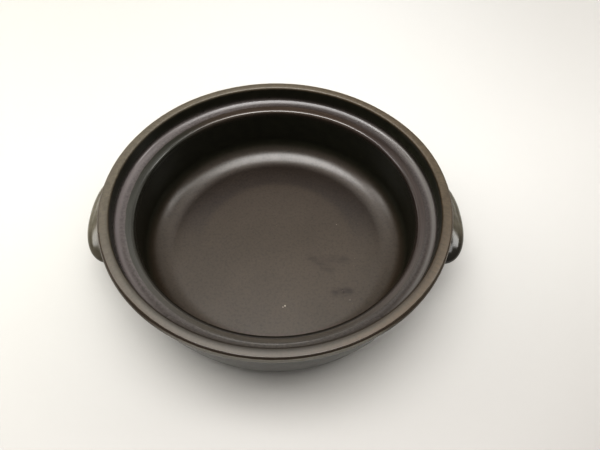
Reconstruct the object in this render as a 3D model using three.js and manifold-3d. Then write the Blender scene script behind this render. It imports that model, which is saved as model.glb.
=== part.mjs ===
// Round stoneware casserole dish: a turned bowl with a stepped gallery for a
// lid, a rolled rim and a foot ring, and two solid lug handles luted on with
// slip under the rim. Millimetres, +Z up, origin at the centre of the foot
// plane, lugs on +X and -X.
import * as THREE from 'three';
import { mergeVertices } from 'three/addons/utils/BufferGeometryUtils.js';
import Module from 'manifold-3d';

// ---------------------------------------------------------------- dimensions
const SEGMENTS = 60; // facets round the bowl

// rim
const RIM_R = 120; // outer radius
const HEIGHT = 73.3; // foot plane to rim crest
const CROWN = 8.5; // radius of the gently domed top
const CROWN_OUT = 22; // degrees that it turns down towards the outer edge
const CROWN_IN = 10; // and towards the inner edge
const EDGE_OUT = 3; // radius of the outer edge
const EDGE_IN = 1.4; // radius of the inner edge

// gallery (the step a lid sits on)
const LEDGE_Z = 59.5;
const LEDGE_FILLET = 4.7; // upstand to ledge
const UPSTAND_FOOT_R = 112.1; // upstand radius where the fillet starts
const LIP_R = 98.9; // mouth of the bowl, inner edge of the ledge
const LIP_ROUND = 2.4;

// inside
const WALL_IN_R = 98.9; // inner wall radius at the top of the cove
const COVE_OUT = 19.5; // wall to floor, an elliptic sweep: its reach over the floor
const COVE_UP = 15.9; // and its reach up the wall
const FLOOR_Z = 13.45;
const FLOOR_DISH = 0.25; // the floor is this much lower in the middle

// outside
const NECK_R = 116; // hollow under the rim
const NECK_Z = 63.8;
const SHOULDER_Z = 58; // the wall leaves the shoulder here
const SHOULDER_TAPER = 6; // degrees from vertical at the shoulder
const BELLY_Z = 16.5; // the heel starts here
const BELLY_R = 105.6;
const BELLY_TAPER = 20.3; // degrees from vertical at the belly
const HEEL = 13; // heel radius
const HEEL_TURN = 50; // degrees turned by the heel

// foot ring
const FOOT_OUT_R = 82;
const FOOT_IN_R = 74.5;
const FOOT_EDGE = 0.8; // eased edge
const FOOT_ROOT_R = 86; // where the foot meets the underside
const BASE_Z = 4.1; // underside inside the foot ring

// lug handles
const LUG_R = 135; // furthest reach from the dish axis
const LUG_ROOT_R = 111.4; // the lug's own axis, just inside the wall
const LUG_Z = 45.6; // height of the lug's nose
const LUG_UP = 9.2; // nose to top
const LUG_CROWN = 0.4; // share of the top's rise that is an even dome along the lug
const LUG_DOWN = 8.2; // nose to underside
const LUG_HALF_ANGLE = 0.33; // radians, half of the arc that it covers
const LUG_PLAN_POWER = 3.15; // fullness of the outline seen from above
const LUG_SIDE_POWER = 3.6; // fullness of the arch seen from the side
const LUG_NOSE_POWER = 2.4; // bluntness of the nose in section
const LUG_TILT_RIGHT = 0.015; // hand-luted, so slightly off level (rise per arc)
const LUG_TILT_LEFT = -0.05;

// luting slip between a lug and the wall
const GAP = 0.34; // left between touching pieces
const SLIP = 0.8; // thickness of the slip
const SLIP_SPREAD = 1.5; // how far it squeezes out past the lug

// ------------------------------------------------------------------- helpers
const RAD = Math.PI / 180;
const pt = (r, z) => new THREE.Vector2(r, z);

function arc(cr, cz, radius, from, to, steps) {
  const out = [];
  for (let i = 0; i <= steps; i++) {
    const a = (from + ((to - from) * i) / steps) * RAD;
    out.push(pt(cr + radius * Math.cos(a), cz + radius * Math.sin(a)));
  }
  return out;
}

// outer wall radius at a height: the taper grows evenly from shoulder to belly
const TAPER_RATE = ((BELLY_TAPER - SHOULDER_TAPER) * RAD) / (SHOULDER_Z - BELLY_Z);
function wallRadius(z) {
  const taper = (h) => SHOULDER_TAPER * RAD + TAPER_RATE * (SHOULDER_Z - h);
  return BELLY_R + (Math.log(Math.cos(taper(z))) - Math.log(Math.cos(taper(BELLY_Z)))) / TAPER_RATE;
}

function turned(profile) {
  return new THREE.LatheGeometry(profile, SEGMENTS).rotateX(Math.PI / 2);
}

const wasm = await Module();
wasm.setup();

function solid(geometry) {
  const bare = geometry.clone();
  bare.deleteAttribute('normal');
  bare.deleteAttribute('uv');
  const welded = mergeVertices(bare, 1e-4);
  const pos = welded.attributes.position.array;
  const index = welded.index.array;
  const tris = [];
  for (let i = 0; i < index.length; i += 3) {
    const [a, b, c] = [index[i], index[i + 1], index[i + 2]];
    if (a !== b && b !== c && a !== c) tris.push(a, b, c);
  }
  return new wasm.Manifold(
    new wasm.Mesh({
      numProp: 3,
      vertProperties: new Float32Array(pos),
      triVerts: new Uint32Array(tris),
    }),
  );
}

function geometryOf(manifold) {
  const mesh = manifold.getMesh();
  const points = new Float32Array(mesh.numVert * 3);
  for (let i = 0; i < mesh.numVert; i++) {
    for (let k = 0; k < 3; k++) points[3 * i + k] = mesh.vertProperties[i * mesh.numProp + k];
  }
  const geometry = new THREE.BufferGeometry();
  geometry.setAttribute('position', new THREE.BufferAttribute(points, 3));
  geometry.setIndex(new THREE.BufferAttribute(new Uint32Array(mesh.triVerts), 1));
  geometry.computeVertexNormals();
  return geometry;
}

// ---------------------------------------------------------------------- bowl
function bowlProfile() {
  const p = [];
  // underside, inside the foot ring
  p.push(pt(0, BASE_Z + 0.3), pt(FOOT_IN_R - 5.5, BASE_Z));
  p.push(pt(FOOT_IN_R - 2.4, BASE_Z - 0.9), pt(FOOT_IN_R - 1.2, FOOT_EDGE + 0.4));
  // foot ring
  p.push(pt(FOOT_IN_R - 0.3, 0.25), pt(FOOT_IN_R + 0.5, 0), pt(FOOT_OUT_R - 0.5, 0));
  p.push(pt(FOOT_OUT_R + 0.4, 0.3), pt(FOOT_OUT_R + 1.2, FOOT_EDGE + 0.3));
  p.push(pt(FOOT_OUT_R + 2.2, 1.8), pt(FOOT_ROOT_R, 2.4));
  // heel, turning up into the wall
  const cr = BELLY_R - HEEL * Math.cos(BELLY_TAPER * RAD);
  const cz = BELLY_Z + HEEL * Math.sin(BELLY_TAPER * RAD);
  p.push(...arc(cr, cz, HEEL, -BELLY_TAPER - HEEL_TURN, -BELLY_TAPER, 6));
  // wall
  for (const z of [24, 30, 36, 42, 48, 53, SHOULDER_Z]) p.push(pt(wallRadius(z), z));
  const shoulder = wallRadius(SHOULDER_Z);
  p.push(pt(shoulder + 0.2, SHOULDER_Z + 1.8), pt(NECK_R - 0.4, NECK_Z - 1.5));
  // hollow under the rim and the roll of the rim
  const roll = RIM_R - NECK_R;
  p.push(pt(NECK_R, NECK_Z), pt(NECK_R + 0.1 * roll, NECK_Z + 1.1), pt(NECK_R + 0.34 * roll, NECK_Z + 2.1));
  p.push(pt(NECK_R + 0.65 * roll, NECK_Z + 2.8), pt(RIM_R - 0.8, NECK_Z + 3.9), pt(RIM_R - 0.1, NECK_Z + 5.2));
  // crown of the rim, outside to inside
  const crestR = RIM_R - EDGE_OUT - (CROWN - EDGE_OUT) * Math.sin(CROWN_OUT * RAD);
  const outZ = HEIGHT - CROWN + (CROWN - EDGE_OUT) * Math.cos(CROWN_OUT * RAD);
  const inR = crestR - (CROWN - EDGE_IN) * Math.sin(CROWN_IN * RAD);
  const inZ = HEIGHT - CROWN + (CROWN - EDGE_IN) * Math.cos(CROWN_IN * RAD);
  p.push(...arc(RIM_R - EDGE_OUT, outZ, EDGE_OUT, 0, 90 - CROWN_OUT, 4));
  p.push(...arc(crestR, HEIGHT - CROWN, CROWN, 90 - CROWN_OUT, 90 + CROWN_IN, 5).slice(1));
  p.push(...arc(inR, inZ, EDGE_IN, 90 + CROWN_IN, 180, 4).slice(1));
  // upstand, fillet and ledge
  p.push(...arc(UPSTAND_FOOT_R - LEDGE_FILLET, LEDGE_Z + LEDGE_FILLET, LEDGE_FILLET, 0, -90, 4));
  p.push(...arc(LIP_R + LIP_ROUND, LEDGE_Z - LIP_ROUND, LIP_ROUND, 90, 180, 4));
  // inner wall, cove and floor
  p.push(pt(WALL_IN_R + 0.08, 44));
  for (const q of arc(0, 0, 1, 0, -90, 7)) {
    p.push(pt(WALL_IN_R - COVE_OUT + COVE_OUT * q.x, FLOOR_Z + COVE_UP + COVE_UP * q.y));
  }
  p.push(pt(WALL_IN_R - COVE_OUT - 30, FLOOR_Z - 0.6 * FLOOR_DISH), pt(0, FLOOR_Z - FLOOR_DISH));
  return p;
}

// --------------------------------------------------------------- lug handles
// A crescent-shaped blank: a ball whose poles lie along the lug, drawn out to
// the lug's plan outline and arch, and bent round the dish axis.
function lugBlank(tilt, spread) {
  const g = new THREE.SphereGeometry(1, 32, 22);
  const pos = g.attributes.position;
  const v = new THREE.Vector3();
  const halfAngle = LUG_HALF_ANGLE + spread / LUG_ROOT_R;
  const blunt = (x) => Math.sign(x) * Math.abs(x) ** (2 / LUG_NOSE_POWER);
  for (let i = 0; i < pos.count; i++) {
    v.fromBufferAttribute(pos, i);
    const u = THREE.MathUtils.clamp(v.y, -1, 1);
    const ring = Math.hypot(v.x, v.z);
    const pole = ring < 1e-5;
    const c = pole ? 0 : blunt(v.x / ring);
    const s = pole ? 0 : blunt(v.z / ring);
    const plan = pole ? 0 : (1 - Math.abs(u) ** LUG_PLAN_POWER) ** (1 / LUG_PLAN_POWER);
    const arch = pole ? 0 : (1 - Math.abs(u) ** LUG_SIDE_POWER) ** (1 / LUG_SIDE_POWER);
    const r = LUG_ROOT_R + (c >= 0 ? LUG_R - LUG_ROOT_R + spread : 9) * c * plan;
    const a = u * halfAngle;
    const dome = LUG_CROWN * (1 - u * u) + (1 - LUG_CROWN) * arch;
    const z = LUG_Z + (s >= 0 ? (LUG_UP + spread) * s * dome : (LUG_DOWN + spread) * s * arch) + tilt * a * RIM_R;
    pos.setXYZ(i, r * Math.cos(a), r * Math.sin(a), z);
  }
  return solid(g);
}

// the space inside the wall surface, grown outwards by an offset
function wallEnvelope(offset) {
  const p = [pt(0, 23)];
  for (const z of [23, 24, 30, 36, 42, 48, 53, SHOULDER_Z, 60]) {
    p.push(pt(wallRadius(Math.min(z, SHOULDER_Z)) + offset, z));
  }
  p.push(pt(0, 60));
  return solid(turned(p));
}

const lugGeometry = (tilt) => geometryOf(lugBlank(tilt, 0).subtract(wallEnvelope(2 * GAP + SLIP)));
const slipGeometry = (tilt) =>
  geometryOf(lugBlank(tilt, SLIP_SPREAD).intersect(wallEnvelope(GAP + SLIP)).subtract(wallEnvelope(GAP)));

// ----------------------------------------------------------------- materials
const bowlGlaze = new THREE.MeshStandardMaterial({ color: 0x3a322c, roughness: 0.42, metalness: 0 });
const lugGlaze = new THREE.MeshStandardMaterial({ color: 0x34332d, roughness: 0.34, metalness: 0 });
const slipGlaze = new THREE.MeshStandardMaterial({ color: 0x2f2c27, roughness: 0.45, metalness: 0 });

// ------------------------------------------------------------------ assembly
function piece(name, geometry, material, turn = 0) {
  const mesh = new THREE.Mesh(geometry, material);
  mesh.name = name;
  mesh.rotation.z = turn;
  return mesh;
}

const dish = new THREE.Group();
dish.name = 'round_casserole_dish';
dish.add(piece('bowl', turned(bowlProfile()), bowlGlaze));
dish.add(piece('lug_handle_right', lugGeometry(LUG_TILT_RIGHT), lugGlaze));
dish.add(piece('lug_handle_left', lugGeometry(LUG_TILT_LEFT), lugGlaze.clone(), Math.PI));
dish.add(piece('luting_slip_right', slipGeometry(LUG_TILT_RIGHT), slipGlaze));
dish.add(piece('luting_slip_left', slipGeometry(LUG_TILT_LEFT), slipGlaze.clone(), Math.PI));

export default dish;
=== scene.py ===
# Looks for a round stoneware casserole dish: a turned, dark-glazed bowl with a
# stepped gallery under a rolled rim, and two solid lugs luted to its wall.
# Metres, +Z up, origin at the centre of the foot plane, lugs on +X and -X.
import math

import bpy
import numpy as np
from mathutils import Matrix, Vector


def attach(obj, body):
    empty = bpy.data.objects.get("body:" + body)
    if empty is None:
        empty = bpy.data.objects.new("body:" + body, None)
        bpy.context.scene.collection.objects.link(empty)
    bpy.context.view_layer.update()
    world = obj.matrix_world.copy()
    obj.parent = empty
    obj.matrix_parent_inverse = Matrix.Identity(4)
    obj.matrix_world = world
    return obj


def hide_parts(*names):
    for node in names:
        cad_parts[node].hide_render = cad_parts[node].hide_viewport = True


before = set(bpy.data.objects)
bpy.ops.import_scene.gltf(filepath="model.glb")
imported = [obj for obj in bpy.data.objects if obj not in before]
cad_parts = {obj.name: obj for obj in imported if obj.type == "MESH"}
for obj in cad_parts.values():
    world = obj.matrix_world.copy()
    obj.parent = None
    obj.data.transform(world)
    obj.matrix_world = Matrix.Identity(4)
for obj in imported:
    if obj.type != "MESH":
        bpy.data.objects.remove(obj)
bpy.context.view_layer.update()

MM = 0.001

# ------------------------------------------------------------------ dimensions
# (millimetres, the same numbers as the solid model)
RIM_R, HEIGHT, CROWN, CROWN_OUT, CROWN_IN, EDGE_OUT, EDGE_IN = 120.0, 73.3, 8.5, 22.0, 10.0, 3.0, 1.4
LEDGE_Z, LEDGE_FILLET, UPSTAND_FOOT_R, LIP_R, LIP_ROUND = 59.5, 4.7, 112.1, 98.9, 2.4
WALL_IN_R, COVE_OUT, COVE_UP, FLOOR_Z, FLOOR_DISH = 98.9, 19.5, 15.9, 13.45, 0.25
NECK_R, NECK_Z, SHOULDER_Z, SHOULDER_TAPER = 116.0, 63.8, 58.0, 6.0
BELLY_Z, BELLY_R, BELLY_TAPER, HEEL, HEEL_TURN = 16.5, 105.6, 20.3, 13.0, 50.0
FOOT_OUT_R, FOOT_IN_R, FOOT_EDGE, FOOT_ROOT_R, BASE_Z = 82.0, 74.5, 0.8, 86.0, 4.1
LUG_R, LUG_ROOT_R, LUG_Z, LUG_UP, LUG_CROWN, LUG_DOWN = 135.0, 111.4, 45.6, 9.2, 0.4, 8.2
LUG_HALF_ANGLE = {"right": 0.33, "left": 0.331}
LUG_PLAN, LUG_SIDE, LUG_NOSE = 3.15, 3.6, 2.4
LUG_TILT = {"right": 0.015, "left": -0.05}
SLIP_FILLET = 2.3

RAD = math.pi / 180
TAPER_RATE = (BELLY_TAPER - SHOULDER_TAPER) * RAD / (SHOULDER_Z - BELLY_Z)


def taper(z):
    return SHOULDER_TAPER * RAD + TAPER_RATE * (SHOULDER_Z - z)


def wall_r(z):
    return BELLY_R + (math.log(math.cos(taper(z))) - math.log(math.cos(taper(BELLY_Z)))) / TAPER_RATE


# --------------------------------------------------------------------- profile
def arc(cr, cz, radius, start, end, steps):
    a = np.linspace(start, end, steps + 1) * RAD
    return [(cr + radius * math.cos(t), cz + radius * math.sin(t)) for t in a]


def smooth(points, steps):
    """A centripetal Catmull-Rom curve through the points."""
    p = np.array(points, float)
    p = np.vstack([2 * p[0] - p[1], p, 2 * p[-1] - p[-2]])
    out = []
    for i in range(1, len(p) - 2):
        a, b, c, d = p[i - 1], p[i], p[i + 1], p[i + 2]
        t0 = 0.0
        t1 = t0 + np.linalg.norm(b - a) ** 0.5
        t2 = t1 + np.linalg.norm(c - b) ** 0.5
        t3 = t2 + np.linalg.norm(d - c) ** 0.5
        for t in np.linspace(t1, t2, steps, endpoint=False):
            a1 = (t1 - t) / (t1 - t0) * a + (t - t0) / (t1 - t0) * b
            a2 = (t2 - t) / (t2 - t1) * b + (t - t1) / (t2 - t1) * c
            a3 = (t3 - t) / (t3 - t2) * c + (t - t2) / (t3 - t2) * d
            b1 = (t2 - t) / (t2 - t0) * a1 + (t - t0) / (t2 - t0) * a2
            b2 = (t3 - t) / (t3 - t1) * a2 + (t - t1) / (t3 - t1) * a3
            out.append(tuple((t2 - t) / (t2 - t1) * b1 + (t - t1) / (t2 - t1) * b2))
    out.append(tuple(p[-2]))
    return out


def bowl_profile():
    """[(r, z, zone)] from the middle of the underside, round the outside and the rim, to the middle of the floor."""
    rows = []

    def add(points, zone):
        for r, z in points:
            if rows and math.hypot(rows[-1][0] - r, rows[-1][1] - z) < 0.02:
                continue
            rows.append((r, z, zone))

    base = [(r, BASE_Z + 0.3 * (1 - (r / (FOOT_IN_R - 5.5)) ** 2)) for r in np.linspace(0, FOOT_IN_R - 5.5, 22)]
    add(base, "base")
    add(smooth([(FOOT_IN_R - 5.5, BASE_Z), (FOOT_IN_R - 2.4, BASE_Z - 0.9), (FOOT_IN_R - 1.2, FOOT_EDGE + 0.4),
                (FOOT_IN_R - 0.3, 0.25), (FOOT_IN_R + 0.5, 0.0)], 4), "foot")
    add([(r, 0.0) for r in np.linspace(FOOT_IN_R + 0.5, FOOT_OUT_R - 0.5, 5)], "foot")
    add(smooth([(FOOT_OUT_R - 0.5, 0.0), (FOOT_OUT_R + 0.4, 0.3), (FOOT_OUT_R + 1.2, FOOT_EDGE + 0.3),
                (FOOT_OUT_R + 2.2, 1.8), (FOOT_ROOT_R, 2.4)], 4), "foot")
    cr = BELLY_R - HEEL * math.cos(BELLY_TAPER * RAD)
    cz = BELLY_Z + HEEL * math.sin(BELLY_TAPER * RAD)
    heel = arc(cr, cz, HEEL, -BELLY_TAPER - HEEL_TURN, -BELLY_TAPER, 16)
    add([tuple(np.array((FOOT_ROOT_R, 2.4)) * (1 - t) + np.array(heel[0]) * t) for t in np.linspace(0, 1, 7)], "heel")
    add(heel, "heel")
    add([(wall_r(z), z) for z in np.linspace(BELLY_Z, SHOULDER_Z, 26)], "wall")
    shoulder = wall_r(SHOULDER_Z)
    roll = RIM_R - NECK_R
    crest_r = RIM_R - EDGE_OUT - (CROWN - EDGE_OUT) * math.sin(CROWN_OUT * RAD)
    out_z = HEIGHT - CROWN + (CROWN - EDGE_OUT) * math.cos(CROWN_OUT * RAD)
    in_r = crest_r - (CROWN - EDGE_IN) * math.sin(CROWN_IN * RAD)
    in_z = HEIGHT - CROWN + (CROWN - EDGE_IN) * math.cos(CROWN_IN * RAD)
    add(smooth([(shoulder, SHOULDER_Z), (shoulder + 0.2, SHOULDER_Z + 1.8), (NECK_R - 0.4, NECK_Z - 1.5), (NECK_R, NECK_Z),
                (NECK_R + 0.1 * roll, NECK_Z + 1.1), (NECK_R + 0.34 * roll, NECK_Z + 2.1), (NECK_R + 0.65 * roll, NECK_Z + 2.8),
                (RIM_R - 0.8, NECK_Z + 3.9), (RIM_R - 0.1, NECK_Z + 5.2), (RIM_R, out_z)], 4), "neck")
    crown = arc(RIM_R - EDGE_OUT, out_z, EDGE_OUT, 0, 90 - CROWN_OUT, 14)
    crown += arc(crest_r, HEIGHT - CROWN, CROWN, 90 - CROWN_OUT, 90 + CROWN_IN, 20)
    crown += arc(in_r, in_z, EDGE_IN, 90 + CROWN_IN, 180, 12)
    add(crown, "rim")
    turn_r, sweep_r = 3.0, 11.0
    turn_x = UPSTAND_FOOT_R - turn_r
    sweep_x = turn_x + (turn_r - sweep_r) / 2
    turn_z = LEDGE_Z + sweep_r - (sweep_r - turn_r) * math.sqrt(3) / 2
    fillet = list(arc(turn_x, turn_z, turn_r, 0, -60, 12)) + list(arc(sweep_x, LEDGE_Z + sweep_r, sweep_r, -60, -90, 16))[1:]
    add([tuple(np.array(crown[-1]) * (1 - t) + np.array(fillet[0]) * t) for t in np.linspace(0, 1, 8)], "upstand")
    add(fillet, "fillet")
    lip = arc(LIP_R + LIP_ROUND, LEDGE_Z - LIP_ROUND, LIP_ROUND, 90, 180, 12)
    add([tuple(np.array(fillet[-1]) * (1 - t) + np.array(lip[0]) * t) for t in np.linspace(0, 1, 25)], "ledge")
    add(lip, "lip")
    cove = [(WALL_IN_R - COVE_OUT + COVE_OUT * x, FLOOR_Z + COVE_UP + COVE_UP * y) for x, y in arc(0, 0, 1, 0, -90, 40)]
    add(smooth([lip[-1], (WALL_IN_R + 0.08, 44.0), cove[0]], 9), "inner_wall")
    add(cove, "cove")
    r1 = WALL_IN_R - COVE_OUT
    add([(r, FLOOR_Z - FLOOR_DISH * (1 - (r / r1) ** 2)) for r in np.linspace(r1, 0, 40)], "floor")
    return rows


PROFILE = bowl_profile()
ZONES = ("base", "foot", "heel", "wall", "neck", "rim", "upstand", "fillet", "ledge", "lip", "inner_wall", "cove", "floor")


# ---------------------------------------------------------------------- meshes
def mesh_object(name, verts, faces):
    me = bpy.data.meshes.new(name)
    me.from_pydata([tuple(v) for v in verts], [], faces)
    me.validate()
    me.polygons.foreach_set("use_smooth", [True] * len(me.polygons))
    me.update()
    ob = bpy.data.objects.new(name, me)
    bpy.context.scene.collection.objects.link(ob)
    return ob


def set_attribute(ob, name, values):
    at = ob.data.attributes.new(name, "FLOAT", "POINT")
    at.data.foreach_set("value", np.asarray(values, np.float32))


def waves(theta, seed, orders, amount):
    """A sum of a few sine waves round the dish: the small unevenness of turned clay."""
    rng = np.random.default_rng(seed)
    out = np.zeros_like(theta)
    for k in orders:
        out += rng.normal() * np.cos(k * theta + rng.uniform(0, 2 * math.pi)) / math.sqrt(k)
    return out * amount


TURNS = 320


def build_bowl():
    prof = np.array([(r, z) for r, z, _ in PROFILE])
    zone = [z for _, _, z in PROFILE]
    theta = np.arange(TURNS) * 2 * math.pi / TURNS
    ring_lift = waves(theta, 3, (2, 3, 5, 8), 0.05)
    ring_swell = waves(theta, 4, (2, 3, 4, 7), 0.06)
    lip_wander = waves(theta, 5, (2, 3, 5, 9, 13), 0.06)
    ridge_at = 105.4 + 1.3 * np.minimum(np.sin(theta), 0) + waves(theta, 6, (2, 3, 5, 8, 13), 0.16)
    ridge_up = 0.022 * np.clip(0.55 - 0.75 * np.sin(theta + 0.45), 0, 1)
    # a little out of round behind the right-hand lug
    off = (theta - 0.35 + math.pi) % (2 * math.pi) - math.pi
    bulge = 1.5 * np.exp(-((off / 0.55) ** 2))
    verts, grid = [], []
    for i, (r, z) in enumerate(prof):
        if r < 1e-6:
            grid.append(len(verts))
            verts.append((0.0, 0.0, z * MM))
            continue
        dr, dz = np.zeros(TURNS), np.zeros(TURNS)
        fuller = (0.55 - 0.65 * np.clip(-np.sin(theta), 0, 1) ** 4) * np.clip((r - 116.3) / 3.0, 0, 1)
        fuller = fuller + 0.45 * np.abs(np.cos(theta)) * np.clip((115.0 - r) / 2.4, 0, 1)
        if zone[i] in ("rim", "upstand"):
            k = np.clip((z - 63.0) / 6.0, 0, 1)
            dr, dz = (bulge + fuller - np.abs(ring_swell)) * k, -np.abs(ring_lift) * k
        elif zone[i] in ("wall", "neck"):
            dr = bulge * np.clip((z - 20.0) / 40.0, 0, 1) + (fuller if zone[i] == "neck" and r > 116.3 else 0)
        elif zone[i] in ("ledge", "lip"):
            k = np.clip((106.0 - r) / 5.0, 0, 1) * (1 if zone[i] == "ledge" else np.clip((z - 56.5) / 2.0, 0, 1))
            dr, dz = (lip_wander + 0.5 * np.abs(np.cos(theta))) * k, 0.4 * lip_wander * k
            if zone[i] == "ledge":
                dz = dz + ridge_up * np.exp(-((r - ridge_at) / 0.55) ** 2)
        elif zone[i] == "fillet":
            dz = ridge_up * np.exp(-((r - ridge_at) / 0.55) ** 2)
        rr, zz = r + dr, z + dz
        grid.append(len(verts))
        verts.extend(zip(rr * np.cos(theta) * MM, rr * np.sin(theta) * MM, zz * MM))
    faces = []
    n = len(prof)
    for i in range(n - 1):
        a, b = grid[i], grid[i + 1]
        for j in range(TURNS):
            k = (j + 1) % TURNS
            if prof[i][0] < 1e-6:
                faces.append((a, b + k, b + j))
            elif prof[i + 1][0] < 1e-6:
                faces.append((a + j, a + k, b))
            else:
                faces.append((a + j, a + k, b + k, b + j))
    ob = mesh_object("bowl_body", verts, faces)

    # zone weights, softened along the profile, for the glaze to break and pool by
    s = np.concatenate([[0], np.cumsum(np.hypot(*np.diff(prof, axis=0).T))])
    counts = [1 if r < 1e-6 else TURNS for r, _ in prof]

    def weight(names, blur):
        hit = np.array([1.0 if z in names else 0.0 for z in zone])
        fine = np.linspace(0, s[-1], 4000)
        v = np.interp(fine, s, hit)
        step = fine[1] - fine[0]
        half = max(1, int(3 * blur / step))
        kernel = np.exp(-0.5 * (np.arange(-half, half + 1) * step / blur) ** 2)
        v = np.convolve(np.pad(v, half, mode="edge"), kernel / kernel.sum(), mode="valid")
        return np.repeat(np.interp(s, fine, v), counts)

    set_attribute(ob, "g_rim", weight(("rim",), 0.7))
    set_attribute(ob, "g_bare", weight(("base", "foot"), 0.5))
    set_attribute(ob, "g_out", weight(("heel", "wall", "neck"), 1.2))
    set_attribute(ob, "g_gallery", weight(("fillet", "ledge", "lip"), 1.2))
    set_attribute(ob, "g_fillet", weight(("fillet",), 1.4))
    set_attribute(ob, "g_well", weight(("inner_wall", "cove", "floor"), 1.0))
    set_attribute(ob, "g_run", np.repeat(s, counts) * MM)
    set_attribute(ob, "g_r", np.repeat(prof[:, 0], counts) * MM)
    add_bowl_map(ob, grid, zone, s)
    return ob


def add_bowl_map(ob, grid, zone, s):
    """A flat layout of the turned surface: round discs for the floor and the base, strips for the rest."""
    me = ob.data
    n_rows = len(PROFILE)
    row_of = np.zeros(len(me.vertices), int)
    turn_of = np.zeros(len(me.vertices))
    for i in range(n_rows):
        if PROFILE[i][0] < 1e-6:
            row_of[grid[i]] = i
        else:
            row_of[grid[i]:grid[i] + TURNS] = i
            turn_of[grid[i]:grid[i] + TURNS] = np.arange(TURNS)
    disc = {"base": ((0.77, 0.86), 0.135 / 70), "floor": ((0.25, 0.79), 0.205 / 80)}
    strips, v = {}, 0.01
    for zones, height in ((("foot", "heel"), 0.10), (("wall",), 0.105), (("neck",), 0.05), (("rim",), 0.045),
                          (("upstand", "fillet", "ledge", "lip"), 0.09), (("inner_wall", "cove"), 0.15)):
        rows = [i for i in range(n_rows) if zone[i] in zones]
        lo = max(rows[0] - 1, 0)
        strips[zones] = (v, height, s[lo], s[rows[-1]])
        v += height + 0.006
    layer = me.uv_layers.new(name="OFBake")
    uv = np.zeros((len(me.loops), 2), np.float32)
    for poly in me.polygons:
        vs = [me.loops[l].vertex_index for l in poly.loop_indices]
        top = max(row_of[x] for x in vs)
        z = zone[top] if zone[top] not in ("foot",) or min(row_of[x] for x in vs) > 0 else "base"
        turns = [turn_of[x] for x in vs]
        wrap = max(turns) - min(turns) > TURNS / 2
        for l, x in zip(poly.loop_indices, vs):
            co = me.vertices[x].co
            if z in disc:
                (cu, cv), k = disc[z]
                uv[l] = (cu + co.x / MM * k, cv + co.y / MM * k)
            else:
                key = next(k for k in strips if z in k)
                v0, h, s0, s1 = strips[key]
                t = turn_of[x]
                if wrap and t == 0:
                    t = TURNS
                uv[l] = (0.01 + 0.98 * t / TURNS, v0 + h * (s[row_of[x]] - s0) / (s1 - s0))
    layer.uv.foreach_set("vector", uv.ravel())


# -------------------------------------------------------------------- the lugs
def lug_point(v, tilt, half_angle):
    """A point of the lug's skin for a direction v on the unit ball (x out, y along, z up), in mm."""
    x, y, z = v
    ring = math.hypot(x, z)

    def blunt(t):
        return math.copysign(abs(t) ** (2 / LUG_NOSE), t)

    c = blunt(x / ring) if ring > 1e-9 else 0.0
    s = blunt(z / ring) if ring > 1e-9 else 0.0
    u = math.copysign(abs(y) ** (2 / LUG_PLAN), y)
    plan = ring ** (2 / LUG_PLAN)
    arch = max(0.0, 1 - abs(u) ** LUG_SIDE) ** (1 / LUG_SIDE)
    dome = LUG_CROWN * (1 - u * u) + (1 - LUG_CROWN) * arch
    r = LUG_ROOT_R + (LUG_R - LUG_ROOT_R if c >= 0 else 9.0) * c * plan
    a = u * half_angle
    h = LUG_Z + (LUG_UP * s * dome if s >= 0 else LUG_DOWN * s * arch) + tilt * a * RIM_R
    return np.array((r * math.cos(a), r * math.sin(a), h))


LUG_ROUND, LUG_RINGS = 168, 56


def lug_strands(tilt, half_angle):
    """For each direction round the nose, the skin from the nose to the wall, evenly spaced."""
    strands = []
    for j in range(LUG_ROUND):
        th = 2 * math.pi * j / LUG_ROUND
        # more strands towards the two ends, where the skin turns fast
        th = th - 0.28 * math.sin(2 * th)
        line = []
        for al in np.concatenate([np.linspace(0, 80, 160, endpoint=False), np.linspace(80, 100, 240)]) * RAD:
            p = lug_point((math.cos(al), math.sin(al) * math.cos(th), math.sin(al) * math.sin(th)), tilt, half_angle)
            if line and math.hypot(p[0], p[1]) <= wall_r(p[2]):
                a, b = line[-1], p
                for _ in range(40):
                    m = (a + b) / 2
                    if math.hypot(m[0], m[1]) <= wall_r(m[2]):
                        b = m
                    else:
                        a = m
                line.append((a + b) / 2)
                break
            line.append(p)
        line = np.array(line)
        d = np.concatenate([[0], np.cumsum(np.linalg.norm(np.diff(line, axis=0), axis=1))])
        want = np.linspace(0, d[-1], LUG_RINGS + 1)
        strands.append(np.stack([np.interp(want, d, line[:, k]) for k in range(3)], 1))
    return np.array(strands)


def wall_normal(p):
    b, a = taper(p[2]), math.atan2(p[1], p[0])
    return np.array((math.cos(b) * math.cos(a), math.cos(b) * math.sin(a), -math.sin(b)))


def turn_half(p):
    return np.stack([-p[..., 0], -p[..., 1], p[..., 2]], -1)


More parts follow.
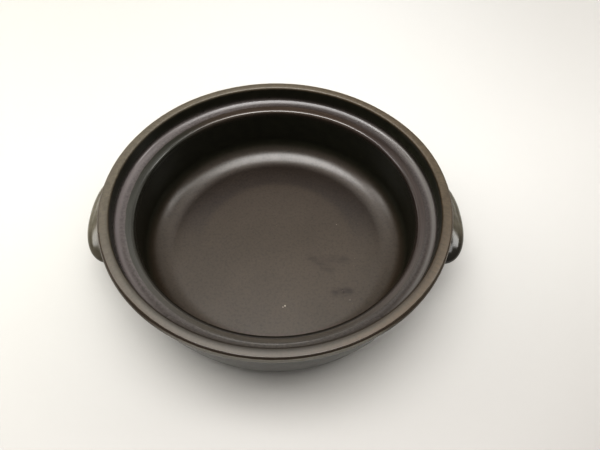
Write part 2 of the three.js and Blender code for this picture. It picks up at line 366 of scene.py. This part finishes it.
def build_lug(side):
    strands = lug_strands(LUG_TILT[side], LUG_HALF_ANGLE[side])
    root = strands[:, -1]
    normals = np.array([wall_normal(p) for p in root])
    sunk = root - 0.5 * normals
    place = turn_half if side == "left" else (lambda p: p + np.array((0.6, 0.0, 0.0)))

    # the lug itself, closed at the back just inside the wall
    verts = [tuple(strands[:, 0].mean(0))]
    for i in range(1, LUG_RINGS + 1):
        verts.extend(map(tuple, strands[:, i]))
    verts.extend(map(tuple, sunk))
    hub = sunk.mean(0)
    a0 = math.atan2(hub[1], hub[0])
    rr = wall_r(hub[2]) - 0.7
    verts.append((rr * math.cos(a0), rr * math.sin(a0), hub[2]))
    n, faces = LUG_ROUND, []
    for j in range(n):
        k = (j + 1) % n
        faces.append((0, 1 + j, 1 + k))
        for i in range(LUG_RINGS):
            a, b = 1 + i * n, 1 + (i + 1) * n
            faces.append((a + j, b + j, b + k, a + k))
        last = 1 + LUG_RINGS * n
        faces.append((last + j, len(verts) - 1, last + k))
    lug = mesh_object("lug_" + side, place(np.array(verts)) * MM, faces)
    to_root = np.concatenate([[1.0], np.repeat(1 - np.arange(1, LUG_RINGS + 1) / LUG_RINGS, n), np.zeros(n + 1)])
    set_attribute(lug, "g_root", 1 - to_root)

    # the fillet of slip that joins it to the wall
    tangent = np.roll(root, -1, 0) - np.roll(root, 1, 0)
    tangent /= np.linalg.norm(tangent, axis=1)[:, None]
    away = np.cross(tangent, normals)
    centre = root.mean(0)
    away *= np.sign(((root - centre) * away).sum(1))[:, None]
    verts, steps = [], 12
    angle = 2 * math.pi * np.arange(n) / n
    size = SLIP_FILLET * (1 + waves(angle, 11 if side == "left" else 12, (2, 3, 5, 7), 0.08))
    for j in range(n):
        d = np.linalg.norm(strands[j] - root[j], axis=1)[::-1]
        on_lug = np.array([np.interp(size[j], d, strands[j][::-1, k]) for k in range(3)])
        on_wall = root[j] + size[j] * away[j]
        a = math.atan2(on_wall[1], on_wall[0])
        w = wall_r(on_wall[2])
        on_wall = np.array((w * math.cos(a), w * math.sin(a), on_wall[2]))
        inward = -0.25 * (normals[j] + away[j] * 0.2)
        loop = []
        for t in np.linspace(0, 1, steps + 1):
            loop.append((1 - t) ** 2 * on_lug + 2 * t * (1 - t) * root[j] + t * t * on_wall)
        loop[0] = loop[0] - 0.2 * away[j]
        loop[-1] = loop[-1] - 0.2 * wall_normal(on_wall)
        loop.append(root[j] - 0.35 * normals[j] - 0.35 * away[j])
        verts.extend(loop)
    m, faces = steps + 2, []
    for j in range(n):
        k = (j + 1) % n
        for i in range(m):
            q = (i + 1) % m
            faces.append((j * m + i, j * m + q, k * m + q, k * m + i))
    slip = mesh_object("slip_" + side, place(np.array(verts)) * MM, faces)
    for ob in (lug, slip):
        bm_fix(ob)
    return lug, slip


def bm_fix(ob):
    """Faces of a closed piece all point outwards."""
    import bmesh
    bm = bmesh.new()
    bm.from_mesh(ob.data)
    bmesh.ops.recalc_face_normals(bm, faces=bm.faces)
    bm.to_mesh(ob.data)
    bm.free()
    ob.data.update()


# ------------------------------------------------------------------- materials
class Nodes:
    """Short names for the nodes that the glazes are made of."""

    def __init__(self, name):
        self.mat = bpy.data.materials.new(name)
        self.mat.use_nodes = True
        self.tree = self.mat.node_tree
        self.tree.nodes.clear()
        self.out = self.new("ShaderNodeOutputMaterial")
        self.bsdf = self.new("ShaderNodeBsdfPrincipled")
        self.link(self.bsdf.outputs["BSDF"], self.out.inputs["Surface"])
        self.coord = self.new("ShaderNodeTexCoord").outputs["Object"]

    def new(self, kind, **props):
        n = self.tree.nodes.new(kind)
        for k, v in props.items():
            setattr(n, k, v)
        return n

    def link(self, a, b):
        self.tree.links.new(a, b)

    def put(self, socket, value):
        if isinstance(value, bpy.types.NodeSocket):
            self.link(value, socket)
        elif isinstance(value, (tuple, list)) and len(value) == 3 and socket.type == "RGBA":
            socket.default_value = (*value, 1.0)
        else:
            socket.default_value = value

    def math(self, op, a, b=0.0, clamp=False):
        n = self.new("ShaderNodeMath", operation=op, use_clamp=clamp)
        self.put(n.inputs[0], a)
        self.put(n.inputs[1], b)
        return n.outputs[0]

    def mul(self, a, b):
        return self.math("MULTIPLY", a, b)

    def add(self, a, b):
        return self.math("ADD", a, b)

    def ease(self, v, lo, hi, to_lo=0.0, to_hi=1.0):
        n = self.new("ShaderNodeMapRange", interpolation_type="SMOOTHSTEP")
        self.put(n.inputs["Value"], v)
        n.inputs["From Min"].default_value = lo
        n.inputs["From Max"].default_value = hi
        n.inputs["To Min"].default_value = to_lo
        n.inputs["To Max"].default_value = to_hi
        return n.outputs["Result"]

    def noise(self, size_mm, detail=3.0, rough=0.55, vector=None, distortion=0.0):
        n = self.new("ShaderNodeTexNoise")
        self.put(n.inputs["Vector"], self.coord if vector is None else vector)
        n.inputs["Scale"].default_value = 1000.0 / size_mm
        n.inputs["Detail"].default_value = detail
        n.inputs["Roughness"].default_value = rough
        n.inputs["Distortion"].default_value = distortion
        return n.outputs["Fac"]

    def cells(self, size_mm, feature="F1", vector=None):
        n = self.new("ShaderNodeTexVoronoi", feature=feature)
        self.put(n.inputs["Vector"], self.coord if vector is None else vector)
        n.inputs["Scale"].default_value = 1000.0 / size_mm
        return n

    def attr(self, name):
        return self.new("ShaderNodeAttribute", attribute_name=name).outputs["Fac"]

    def mix(self, fac, a, b):
        n = self.new("ShaderNodeMix", data_type="RGBA")
        self.put(n.inputs[0], fac)
        self.put(n.inputs[6], a)
        self.put(n.inputs[7], b)
        return n.outputs[2]

    def lerp(self, fac, a, b):
        n = self.new("ShaderNodeMix", data_type="FLOAT")
        self.put(n.inputs[0], fac)
        self.put(n.inputs[2], a)
        self.put(n.inputs[3], b)
        return n.outputs[0]

    def spot(self, x, y, z, radius_mm, soft=0.6, wobble=0.0, size=6.0):
        """1 inside a soft round mark at a point in mm, 0 outside."""
        n = self.new("ShaderNodeVectorMath", operation="DISTANCE")
        self.put(n.inputs[0], self.coord)
        n.inputs[1].default_value = (x * MM, y * MM, z * MM)
        d = n.outputs["Value"]
        if wobble:
            d = self.add(d, self.mul(self.add(self.noise(size, 2.0), -0.5), wobble * MM))
        return self.ease(d, radius_mm * MM * (1 + soft), radius_mm * MM * (1 - soft))

    def xyz(self):
        sep = self.new("ShaderNodeSeparateXYZ")
        self.link(self.coord, sep.inputs[0])
        return sep.outputs[0], sep.outputs[1], sep.outputs[2]

    def radius(self):
        x, y, _ = self.xyz()
        return self.math("MAXIMUM", self.math("SQRT", self.add(self.mul(x, x), self.mul(y, y))), 1e-5)

    def polar(self, around, along):
        """Coordinates that run round the dish and out from its axis, with no seam."""
        x, y, z = self.xyz()
        r = self.radius()
        com = self.new("ShaderNodeCombineXYZ")
        self.link(self.mul(self.math("DIVIDE", x, r), around), com.inputs[0])
        self.link(self.mul(self.math("DIVIDE", y, r), around), com.inputs[1])
        self.link(self.mul(self.add(r, z), along), com.inputs[2])
        return com.outputs[0]

    def stroke(self, ax, ay, bx, by, z, width_mm, soft=0.6, wobble=0.0, size=6.0):
        """1 along a soft line between two points of a level, in mm, 0 outside."""
        x, y, _ = self.xyz()
        length = math.hypot(bx - ax, by - ay)
        ux, uy = (bx - ax) / length, (by - ay) / length
        px, py = self.add(x, -ax * MM), self.add(y, -ay * MM)
        along = self.add(self.mul(px, ux), self.mul(py, uy))
        side = self.add(self.mul(px, -uy), self.mul(py, ux))
        over = self.math("MAXIMUM", self.math("MAXIMUM", self.mul(along, -1.0), self.add(along, -length * MM)), 0.0)
        d = self.math("SQRT", self.add(self.mul(side, side), self.mul(over, over)))
        if wobble:
            d = self.add(d, self.mul(self.add(self.noise(size, 2.0), -0.5), wobble * MM))
        return self.ease(d, width_mm * MM * (1 + soft), width_mm * MM * (1 - soft))

    def bump(self, height, distance_mm, strength=1.0, normal=None):
        n = self.new("ShaderNodeBump")
        self.put(n.inputs["Height"], height)
        n.inputs["Distance"].default_value = distance_mm * MM
        n.inputs["Strength"].default_value = strength
        if normal is not None:
            self.link(normal, n.inputs["Normal"])
        return n.outputs["Normal"]


def bowl_material():
    g = Nodes("stoneware_bowl_glaze")
    rim, bare, out, gallery = g.attr("g_rim"), g.attr("g_bare"), g.attr("g_out"), g.attr("g_gallery")
    fillet, well = g.attr("g_fillet"), g.attr("g_well")
    x, y, z = g.xyz()
    r = g.radius()
    cloud = g.noise(38, 3, 0.5)
    mottle = g.noise(7, 4, 0.6)
    grain = g.noise(0.9, 3, 0.6)
    fine = g.noise(0.35, 2, 0.5)
    tooth = g.noise(1.7, 2, 0.6)
    turning = g.noise(0.8, 2, 0.6, vector=g.polar(0.003, 1.0))

    # colour: dark iron glaze, browner where it lies thick
    col = g.mix(g.ease(cloud, 0.32, 0.68), (0.0420, 0.0315, 0.0215), (0.0500, 0.0380, 0.0265))
    # painted light: the far half (+Y) is tinted purpler, standing in for the light it reflects there
    col = g.mix(g.mul(g.ease(y, 0.00, 0.05), 0.5), col, (0.049, 0.0380, 0.0310))
    # painted reflection: a dark crescent on the far floor by the cove, standing in for the reflection of the dark far
    # wall
    painted_wall_reflection = g.mul(g.mul(g.ease(r, 0.0555, 0.0635), g.ease(r, 0.087, 0.079)), g.ease(y, -0.015, 0.040))
    col = g.mix(g.mul(painted_wall_reflection, 0.8), col, (0.023, 0.0172, 0.0152))
    col = g.mix(g.mul(g.ease(mottle, 0.35, 0.75), 0.35), col, (0.034, 0.0252, 0.0168))
    grit = g.ease(g.noise(1.9, 3, 0.65), 0.34, 0.66)
    col = g.mix(g.mul(grit, 0.30), col, (0.066, 0.0515, 0.0390))
    col = g.mix(g.mul(g.ease(grit, 0.35, 0.0), 0.30), col, (0.022, 0.0165, 0.0115))
    # blacker and greener up the wall; the blackening is painted shade on the inner wall, which faces away from the
    # light
    col = g.mix(g.ease(z, 0.0175, 0.0275), col, g.mix(g.ease(mottle, 0.3, 0.7), (0.022, 0.0225, 0.0150), (0.030, 0.0305, 0.0200)))
    # the outside is greener and blacker
    col = g.mix(out, col, g.mix(g.ease(mottle, 0.3, 0.7), (0.030, 0.029, 0.021), (0.042, 0.040, 0.030)))
    # the gallery: purple-grey towards the upstand, greener and darker by the mouth, parted by a wandering line; lighter
    # on the left and the far side and darker on the near side, which is painted light and shade
    part = g.add(r, g.mul(g.add(g.noise(9, 3, vector=g.polar(0.105, 0.0)), -0.5), -0.0012))
    near = g.math("MAXIMUM", g.math("DIVIDE", g.mul(y, -1.0), r), 0.0)
    part = g.add(part, g.mul(near, 0.0013))
    leftward = g.ease(g.math("DIVIDE", x, r), 0.3, -0.5)
    nearest = g.mul(near, near)
    outer = g.mul(gallery, g.ease(part, 0.1050, 0.1058))
    inner = g.mul(gallery, g.ease(part, 0.1056, 0.1050))
    col = g.mix(g.mul(inner, 0.9), col, g.mix(g.ease(turning, 0.3, 0.7), g.mix(nearest, g.mix(leftward, (0.042, 0.0315, 0.0280), (0.033, 0.0318, 0.0262)), (0.041, 0.0332, 0.0250)), g.mix(nearest, g.mix(leftward, (0.054, 0.0410, 0.0365), (0.043, 0.0414, 0.0342)), (0.053, 0.0432, 0.0328))))
    # painted light: the far ledge inside the fillet is lighter
    painted_far_light = g.mul(gallery, g.mul(g.ease(g.math("DIVIDE", y, r), 0.60, 0.95), g.ease(part, 0.1085, 0.1050)))
    col = g.mix(g.mul(painted_far_light, 0.8), col, g.mix(g.ease(turning, 0.3, 0.7), (0.058, 0.0445, 0.0350), (0.076, 0.0590, 0.0470)))
    # painted light and shade: the outer band is lighter on the left and darker on the near side
    col = g.mix(g.mul(outer, 0.9), col, g.mix(g.ease(tooth, 0.3, 0.7), g.mix(nearest, g.mix(leftward, (0.040, 0.0318, 0.0292), (0.074, 0.0640, 0.0610)), (0.030, 0.0240, 0.0188)), g.mix(nearest, g.mix(leftward, (0.055, 0.0442, 0.0408), (0.104, 0.0900, 0.0860)), (0.045, 0.0365, 0.0290))))
    sides = g.ease(g.math("ABSOLUTE", g.math("DIVIDE", x, r)), 0.5, 0.85)
    # painted highlight: a light grey line on the upper fillet at the two sides, standing in for a reflection there
    painted_fillet_highlight = g.mul(g.mul(g.ease(z, 0.0596, 0.0606), g.ease(z, 0.0632, 0.0618)), g.mul(g.mul(gallery, sides), g.ease(r, 0.1060, 0.1075)))
    col = g.mix(g.mul(painted_fillet_highlight, 0.85), col, g.mix(leftward, (0.128, 0.118, 0.110), (0.140, 0.123, 0.119)))
    # painted reflection: the lip of the mouth is darkened on its near side, where it reflects the dark far wall
    lip = g.mul(g.ease(r, 0.1018, 0.1010), g.ease(z, 0.0540, 0.0560))
    col = g.mix(g.mul(g.mul(lip, nearest), 0.85), col, (0.010, 0.0074, 0.0050))
    # the glaze breaks to bronze on the rim, olive on one side and brown on the other
    hatch = g.noise(1.7, 3, 0.7, vector=g.polar(0.117, 0.6))
    olive = g.mix(g.ease(hatch, 0.3, 0.7), (0.063, 0.0535, 0.0370), (0.104, 0.0885, 0.0625))
    brown = g.mix(g.ease(hatch, 0.3, 0.7), (0.047, 0.0345, 0.0200), (0.085, 0.0635, 0.0390))
    bronze = g.mix(g.ease(g.add(x, g.mul(g.add(cloud, -0.5), 0.12)), -0.075, 0.085), olive, brown)
    rightward = g.ease(g.math("DIVIDE", x, r), 0.10, 0.60)
    # painted shade: the near side of the rim is darker, browner on the right
    bronze = g.mix(g.mul(near, 0.70), bronze, g.mix(rightward, (0.032, 0.0238, 0.0152), (0.052, 0.0355, 0.0205)))
    # painted light: the far side of the rim is lighter
    far = g.math("MAXIMUM", g.math("DIVIDE", y, r), 0.0)
    bronze = g.mix(g.mul(far, 0.30), bronze, (0.125, 0.106, 0.080))
    # painted shade: the inner edge of the near rim is darkened, in the crease against the gallery
    bronze = g.mix(g.mul(g.mul(g.ease(g.attr("g_r"), 0.1168, 0.1136), near), 0.8), bronze, (0.018, 0.0132, 0.0085))
    # painted highlight: the outer part of the near rim is lighter again, for the sheen that rises to its outer edge;
    # olive on the left, golden brown on the right
    bronze = g.mix(g.mul(g.mul(g.ease(g.attr("g_r"), 0.1158, 0.1180), near), 0.65), bronze, g.mix(rightward, g.mix(hatch, (0.060, 0.0475, 0.0345), (0.088, 0.0710, 0.0530)), g.mix(hatch, (0.078, 0.0560, 0.0345), (0.112, 0.0820, 0.0520))))
    rim_mask = g.math("MULTIPLY", g.ease(g.add(rim, g.mul(g.add(mottle, -0.5), 0.35)), 0.30, 0.75), 0.97)
    col = g.mix(rim_mask, col, bronze)
    # its outer edge is painted dark brown, darkest on the near side, for the shade on the rim's outer curve; on its
    # outermost curve on the near side, a thin pale line is a painted reflection of the lit floor in front
    edge_r = g.add(g.attr("g_r"), g.mul(g.add(g.noise(5, 3, vector=g.polar(0.118, 0.0)), -0.5), 0.0005))
    edge = g.mul(g.ease(g.add(edge_r, g.mul(near, 0.0010)), 0.1186, 0.1191), g.ease(z, 0.0640, 0.0650))
    col = g.mix(edge, col, g.mix(near, (0.060, 0.0450, 0.0300), (0.026, 0.0180, 0.0115)))
    # painted reflection: the pale line on the near outer face of the rim
    painted_table_reflection = g.mul(g.mul(edge, g.ease(edge_r, 0.1190, 0.1194)), g.mul(g.ease(z, 0.0722, 0.0717), g.ease(z, 0.0684, 0.0691)))
    painted_table_reflection = g.mul(painted_table_reflection, g.ease(g.math("DIVIDE", y, r), -0.76, -0.91))
    col = g.mix(painted_table_reflection, col, g.mix(hatch, (0.125, 0.118, 0.102), (0.160, 0.152, 0.134)))
    # pale crumbs where the glaze drew back along the parting line, on the near left of the gallery
    crumb = g.ease(g.noise(0.9, 1, 0.5), 0.60, 0.70)
    near_left = g.ease(g.add(g.mul(x, 0.45), y), 0.02, -0.05)
    ridge = g.mul(g.ease(g.math("ABSOLUTE", g.add(part, -0.1056)), 0.0010, 0.0002), g.mul(gallery, near_left))
    col = g.mix(g.mul(ridge, g.add(0.05, g.mul(crumb, 0.5))), col, (0.080, 0.068, 0.056))
    # fine speckle, and a few pinholes that show the clay
    speck = g.ease(g.noise(0.8, 2, 0.5), 0.62, 0.75)
    col = g.mix(g.mul(speck, 0.35), col, (0.075, 0.058, 0.044))
    pin = g.cells(9.0)
    pin_mask = g.mul(g.ease(pin.outputs["Distance"], 0.035, 0.018), g.ease(g.noise(21, 1), 0.52, 0.56))
    col = g.mix(g.mul(pin_mask, g.mul(well, 0.8)), col, (0.16, 0.125, 0.095))
    # marks of use on the floor: two drag smudges, a dull patch, a pale chip
    on_floor = g.ease(z, 0.0155, 0.0145)
    streak = g.new("ShaderNodeCombineXYZ")
    g.link(g.mul(x, 0.3), streak.inputs[0])
    g.link(y, streak.inputs[1])
    smudge = g.stroke(43.0, -45.0, 53.5, -43.8, 13.3, 2.9, 0.98, 2.2, 4.0)
    smudge = g.math("MAXIMUM", smudge, g.mul(g.stroke(26.0, -15.0, 40.0, -25.5, 13.3, 2.6, 0.98, 3.0, 5.0), 0.6))
    smudge = g.math("MAXIMUM", smudge, g.mul(g.stroke(35.0, -16.0, 52.0, -16.4, 13.3, 2.8, 0.98, 3.0, 5.0), 0.55))
    smudge = g.mul(g.mul(smudge, on_floor), g.add(0.2, g.mul(g.ease(g.noise(2.4, 3, 0.6, vector=streak.outputs[0]), 0.30, 0.68), 0.8)))
    col = g.mix(smudge, col, (0.020, 0.0122, 0.0076))
    chips = g.math("MAXIMUM", g.mul(g.spot(6.1, -55.9, 13.4, 0.6, 0.4, 0.6, 1.0), 0.6), g.mul(g.spot(47.1, 17.2, 13.4, 0.45, 0.4), 0.25))
    chips = g.math("MAXIMUM", chips, g.mul(g.spot(53.3, -51.0, 13.4, 0.5, 0.4), 0.16))
    chips = g.math("MAXIMUM", chips, g.mul(g.spot(-17.5, 76.3, 17.5, 0.6, 0.4), 0.5))
    chips = g.math("MAXIMUM", chips, g.mul(g.spot(4.6, -56.9, 13.4, 0.4, 0.4), 0.6))
    col = g.mix(chips, col, (0.46, 0.42, 0.36))
    # bare clay on the foot, with a ragged glaze line
    line = g.add(bare, g.mul(g.add(g.noise(9, 3), -0.5), 0.9))
    bare_mask = g.mul(g.ease(line, 0.42, 0.52), g.ease(bare, 0.02, 0.2))
    clay = g.mix(g.noise(3.0, 4, 0.7), (0.185, 0.125, 0.080), (0.275, 0.200, 0.135))
    clay = g.mix(g.mul(g.ease(g.noise(0.7, 2), 0.58, 0.7), 0.6), clay, (0.09, 0.06, 0.04))
    col = g.mix(bare_mask, col, clay)
    g.link(col, g.bsdf.inputs["Base Color"])

    # finish
    rough = g.lerp(g.ease(mottle, 0.25, 0.75), 0.28, 0.33)
    rough = g.lerp(g.mul(g.ease(tooth, 0.35, 0.7), well), rough, g.add(rough, 0.02))
    rough = g.lerp(gallery, rough, g.lerp(tooth, g.lerp(nearest, 0.20, 0.15), g.lerp(nearest, 0.25, 0.18)))
    rough = g.lerp(fillet, rough, g.lerp(sides, 0.29, 0.20))
    rough = g.lerp(out, rough, g.lerp(mottle, 0.16, 0.24))
    rough = g.lerp(rim_mask, rough, g.lerp(hatch, g.lerp(near, 0.38, 0.50), g.lerp(near, 0.48, 0.60)))
    rough = g.lerp(lip, rough, 0.17)
    rough = g.lerp(edge, rough, g.lerp(near, 0.32, 0.16))
    rough = g.add(rough, g.mul(smudge, -0.03))
    rough = g.add(rough, g.mul(g.spot(-8.0, -52.0, 13.4, 30.0, 0.7, 20.0, 25.0), 0.03))
    rough = g.lerp(bare_mask, rough, 0.86)
    g.link(rough, g.bsdf.inputs["Roughness"])
    g.bsdf.inputs["IOR"].default_value = 1.7

    # surface: satin grain, soft hollows, turning lines on the gallery, clay tooth on the foot
    n = g.bump(cloud, 0.25, 0.35)
    n = g.bump(g.add(g.mul(grain, 0.6), g.mul(fine, 0.4)), 0.02, 0.5, n)
    n = g.bump(g.mul(grit, well), 0.012, 0.5, n)
    n = g.bump(g.mul(turning, gallery), 0.03, 0.5, n)
    n = g.bump(g.mul(hatch, rim_mask), 0.03, 0.5, n)
    n = g.bump(g.mul(g.noise(0.8, 4, 0.7), bare_mask), 0.18, 0.9, n)
    g.link(n, g.bsdf.inputs["Normal"])
    return g.mat


def lug_material(name, light, near_end_shade, rough):
    g = Nodes(name)
    mottle = g.noise(6, 4, 0.6)
    cloud = g.noise(22, 2, 0.5)
    col = g.mix(g.ease(mottle, 0.3, 0.7), tuple(c * light for c in (0.070, 0.062, 0.044)), tuple(c * light for c in (0.096, 0.086, 0.064)))
    col = g.mix(g.mul(g.ease(g.noise(0.8, 2), 0.62, 0.75), 0.3), col, (0.14, 0.12, 0.09))
    _, y, _ = g.xyz()
    # painted shade: the near end of the lug is darker, for the dark front it faces
    col = g.mix(g.mul(g.ease(y, -0.010, -0.033), near_end_shade), col, (0.020, 0.0175, 0.0130))
    g.link(col, g.bsdf.inputs["Base Color"])
    g.link(g.lerp(mottle, rough, rough + 0.05), g.bsdf.inputs["Roughness"])
    g.bsdf.inputs["IOR"].default_value = 1.7
    n = g.bump(cloud, 0.15, 0.3)
    n = g.bump(g.noise(1.1, 3, 0.6), 0.012, 0.35, n)
    g.link(n, g.bsdf.inputs["Normal"])
    return g.mat


# --------------------------------------------------------------------- pieces
bowl = build_bowl()
bowl.data.materials.append(bowl_material())
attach(bowl, "root")
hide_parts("bowl")

for side, light, near_end_shade, rough in (("left", 1.25, 0.4, 0.16), ("right", 0.95, 1.0, 0.12)):
    lug, slip = build_lug(side)
    lug.data.materials.append(lug_material("stoneware_lug_glaze_" + side, light, near_end_shade, rough))
    slip.data.materials.append(lug_material("stoneware_slip_glaze_" + side, light, near_end_shade, rough))
    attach(lug, "root")
    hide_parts("lug_handle_" + side)
    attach(slip, "root")
    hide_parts("luting_slip_" + side)

# ---------------------------------------------------------------------- stage
floor = mesh_object("studio_floor", [(-4, -4, -0.0002), (4, -4, -0.0002), (4, 4, -0.0002), (-4, 4, -0.0002)], [(0, 1, 2, 3)])
g = Nodes("studio_floor_paper")
x, y, _ = g.xyz()
# painted shade: the paper is greyer towards the front and the right, and warmer at the back left, standing in for the
# fall of the light on the floor
tone = g.ease(g.add(y, g.mul(x, -0.14)), -0.34, 0.12)  # greyer towards the front and the right
paper = g.mix(tone, (0.288, 0.274, 0.260), g.mix(g.ease(x, -0.26, 0.02), (0.438, 0.430, 0.402), (0.450, 0.442, 0.424)))
g.link(g.mix(g.ease(x, 0.05, 0.40), paper, g.mix(tone, (0.216, 0.206, 0.193), (0.392, 0.380, 0.362))), g.bsdf.inputs["Base Color"])
g.bsdf.inputs["Roughness"].default_value = 0.6
floor.data.materials.append(g.mat)

world = bpy.data.worlds.new("studio_world")
bpy.context.scene.world = world
world.use_nodes = True
world.node_tree.nodes["Background"].inputs["Color"].default_value = (1.0, 0.99, 0.97, 1)
world.node_tree.nodes["Background"].inputs["Strength"].default_value = 0.30


def area_light(name, at, size_x, size_y, level, colour=(1, 1, 1)):
    """A soft rectangle that faces straight down; level is its brightness, whatever its size."""
    data = bpy.data.lights.new(name, "AREA")
    data.shape = "RECTANGLE"
    data.size, data.size_y = size_x, size_y
    data.energy = level * size_x * size_y * math.pi
    data.color = colour
    ob = bpy.data.objects.new(name, data)
    ob.location = at
    ob.visible_camera = False
    ob.visible_glossy = name != "fill_front"
    bpy.context.scene.collection.objects.link(ob)
    return ob


# soft panels overhead: x from, x to, y from, y to, brightness
CEILING = 1.5
PANELS = (
    ("softbox_main", -0.90, 0.45, -0.25, 0.36, 4.2),
    ("softbox_front", -0.60, 0.50, -0.55, -0.25, 5.7),
    ("softbox_front_low", -0.50, 0.50, -0.78, -0.55, 2.7),
    ("softbox_front_left", -0.90, -0.60, -0.70, -0.25, 2.2),
    ("softbox_front_right", 0.50, 0.90, -0.70, -0.25, 1.4),
    ("softbox_right", 0.45, 1.30, -0.25, 0.25, 2.2),
    ("softbox_left", -1.40, -0.45, -0.25, 0.50, 1.0),
    ("side_left", -3.00, -1.40, 0.00, 0.80, 2.7),
    ("side_right", 1.30, 2.80, 0.15, 0.80, 3.2),
    ("fill_front", -1.40, 1.40, -1.50, -0.95, 1.5),
    ("back_near", -1.40, 1.30, 0.66, 1.08, 0.75),
    ("back_left", -3.00, -0.55, 1.20, 2.60, 0.38),
    ("back_right", 0.55, 3.00, 1.20, 2.60, 0.32),
    ("back_far", -0.55, 0.55, 1.20, 2.60, 0.20),
    ("low_left", -7.00, -3.40, 2.40, 6.00, 1.2),
    ("low_right", 3.40, 7.00, 2.40, 6.00, 0.7),
)
for i, (name, x0, x1, y0, y1, level) in enumerate(PANELS):
    area_light(name, ((x0 + x1) / 2, (y0 + y1) / 2, CEILING + 0.002 * i), x1 - x0, y1 - y0, level)

# --------------------------------------------------------------------- camera
# worked out from the circles of the rim, the gallery and the mouth
F_PX, YAW, PITCH, ROLL, TURN = 500.0, 0.0755, 0.9342, 0.0462, 0.028
CAM_AT = Vector((0.0, -0.22292, 0.33739))
fwd = Vector((math.sin(YAW) * math.cos(PITCH), math.cos(YAW) * math.cos(PITCH), -math.sin(PITCH)))
right = Vector((math.cos(YAW), -math.sin(YAW), 0))
up = right.cross(fwd)
right, up = math.cos(ROLL) * right + math.sin(ROLL) * up, -math.sin(ROLL) * right + math.cos(ROLL) * up
turn = Matrix.Rotation(TURN, 3, "Z")
CAM_AT, fwd, right, up = (turn @ v for v in (CAM_AT, fwd, right, up))
cam_data = bpy.data.cameras.new("photo_camera")
cam_data.sensor_width = 36.0
cam_data.lens = F_PX / 600.0 * 36.0
cam_data.clip_start, cam_data.clip_end = 0.01, 50.0
camera = bpy.data.objects.new("photo_camera", cam_data)
bpy.context.scene.collection.objects.link(camera)
camera.matrix_world = Matrix(((right.x, up.x, -fwd.x, CAM_AT.x), (right.y, up.y, -fwd.y, CAM_AT.y),
                              (right.z, up.z, -fwd.z, CAM_AT.z), (0, 0, 0, 1)))
bpy.context.scene.camera = camera
bpy.context.scene.view_settings.view_transform = "Standard"
bpy.context.scene.view_settings.look = "Very High Contrast"

# ----------------------------------------------------------------------- update
bpy.context.view_layer.update()
